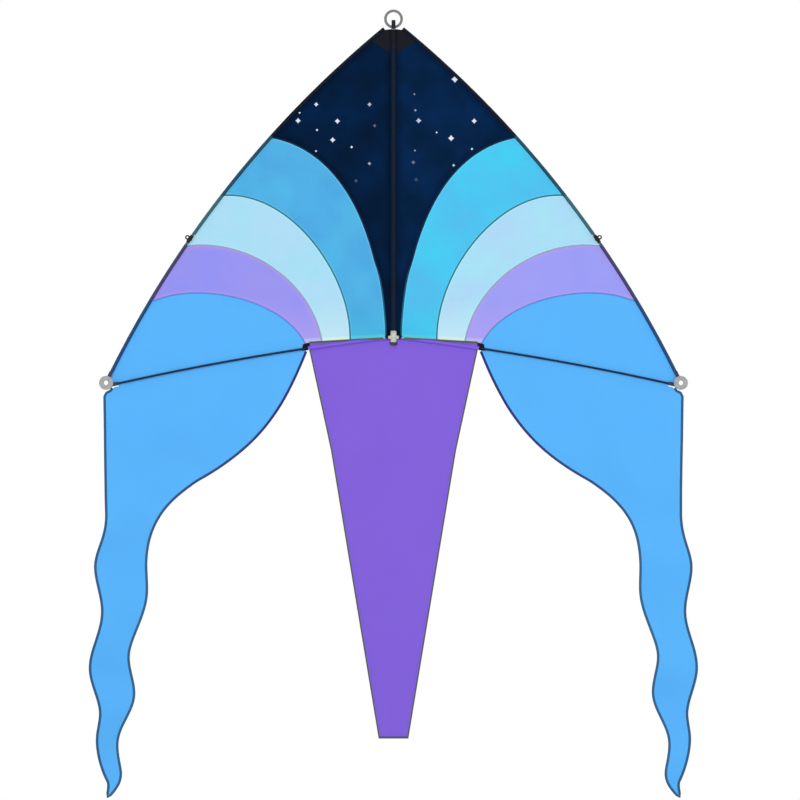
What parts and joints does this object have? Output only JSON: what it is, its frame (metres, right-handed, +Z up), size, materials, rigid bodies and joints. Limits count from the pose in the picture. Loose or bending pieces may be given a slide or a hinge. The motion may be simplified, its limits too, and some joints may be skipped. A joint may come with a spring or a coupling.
{
  "type": "delta kite",
  "caption": "Framed triangular kite with curved colour bands, a tapering centre tail, two wing streamers, a keel and a nose ring; its wings fold.",
  "frame": {"origin": "centre of the nose ring's hole", "axes": "+Z up along the spine to the nose, +Y to the windward side with the keel, +X to the side seen on the right from leeward"},
  "size_m": [1.469, 0.2515, 1.913],
  "materials": {
    "grey_moulding": "satin moulded",
    "ivory_moulding": "satin moulded",
    "brown_vinyl": "soft vinyl",
    "dark_vinyl": "soft vinyl",
    "fibreglass": "smooth pultruded fibreglass rod",
    "ferrule_metal": "drawn tube",
    "eyelet_metal": "pressed",
    "navy_sailcloth": "ripstop",
    "azure_sailcloth": "ripstop",
    "pale_sailcloth": "ripstop",
    "lavender_sailcloth": "ripstop",
    "blue_sailcloth": "ripstop",
    "purple_sailcloth": "ripstop",
    "olive_tape": "stitched tape",
    "teal_binding": "stitched tape",
    "black_tape": "woven polyester"
  },
  "bodies": {
    "spine": {"nose_fitting": "grey_moulding", "spine_rod": "fibreglass", "spine_tip_cap": "dark_vinyl", "spine_sleeve": "navy_sailcloth", "stop_collar": "ivory_moulding", "spine_end_cap": "brown_vinyl", "tail_header": "purple_sailcloth", "tail_header_hems": "olive_tape"},
    "keel": {"keel_panel": "navy_sailcloth", "keel_edge_tape": "black_tape", "tow_eyelets": "eyelet_metal"},
    "centre_tail": {"centre_tail": "purple_sailcloth", "centre_tail_hems": "olive_tape", "tail_batten_pocket": "olive_tape", "tail_batten": "fibreglass"},
    "right_wing": {"right_leading_rod_upper": "fibreglass", "right_leading_rod_lower": "fibreglass", "right_leading_ferrule": "ferrule_metal", "right_leading_sleeve_upper": "black_tape", "right_leading_sleeve_lower": "black_tape", "right_edge_connector": "dark_vinyl", "right_wingtip_fitting": "grey_moulding", "right_spreader_socket": "ivory_moulding", "right_spreader_rod": "fibreglass", "right_hem_sleeve": "olive_tape", "right_nose_patch": "black_tape", "right_panel_navy": "navy_sailcloth", "right_panel_azure": "azure_sailcloth", "right_panel_pale": "pale_sailcloth", "right_panel_lavender": "lavender_sailcloth", "right_panel_blue": "blue_sailcloth"},
    "right_streamer": {"right_streamer": "blue_sailcloth", "right_streamer_binding": "teal_binding"},
    "left_wing": {"left_leading_rod_upper": "fibreglass", "left_leading_rod_lower": "fibreglass", "left_leading_ferrule": "ferrule_metal", "left_leading_sleeve_upper": "black_tape", "left_leading_sleeve_lower": "black_tape", "left_edge_connector": "dark_vinyl", "left_wingtip_fitting": "grey_moulding", "left_spreader_socket": "ivory_moulding", "left_spreader_rod": "fibreglass", "left_hem_sleeve": "olive_tape", "left_nose_patch": "black_tape", "left_panel_navy": "navy_sailcloth", "left_panel_azure": "azure_sailcloth", "left_panel_pale": "pale_sailcloth", "left_panel_lavender": "lavender_sailcloth", "left_panel_blue": "blue_sailcloth"},
    "left_streamer": {"left_streamer": "blue_sailcloth", "left_streamer_binding": "teal_binding"}
  },
  "joints": [
    {"name": "right_wing_fold", "type": "hinge", "parent": "spine", "child": "right_wing", "pos_m": [0, -0.0077, -0.775], "axis": [0, 0, 1], "range_deg": [-14, 60]},
    {"name": "left_wing_fold", "type": "hinge", "parent": "spine", "child": "left_wing", "pos_m": [0, -0.0077, -0.775], "axis": [0, 0, -1], "range_deg": [-14, 60]},
    {"name": "right_streamer_swing", "type": "hinge", "parent": "right_wing", "child": "right_streamer", "pos_m": [0.21318, -0.02669, -0.80896], "axis": [-0.9776, 0.1028, 0.1836], "range_deg": [-10, 80]},
    {"name": "left_streamer_swing", "type": "hinge", "parent": "left_wing", "child": "left_streamer", "pos_m": [-0.21318, -0.02669, -0.80896], "axis": [-0.9776, -0.1028, -0.1836], "range_deg": [-10, 80]},
    {"name": "centre_tail_swing", "type": "hinge", "parent": "spine", "child": "centre_tail", "pos_m": [0, -0.0043, -1.05], "axis": [-1, 0, 0], "range_deg": [-20, 80]},
    {"name": "keel_sway", "type": "hinge", "parent": "spine", "child": "keel", "pos_m": [0, -0.0015, -0.49], "axis": [0, 0, 1], "range_deg": [-15, 15]}
  ]
}
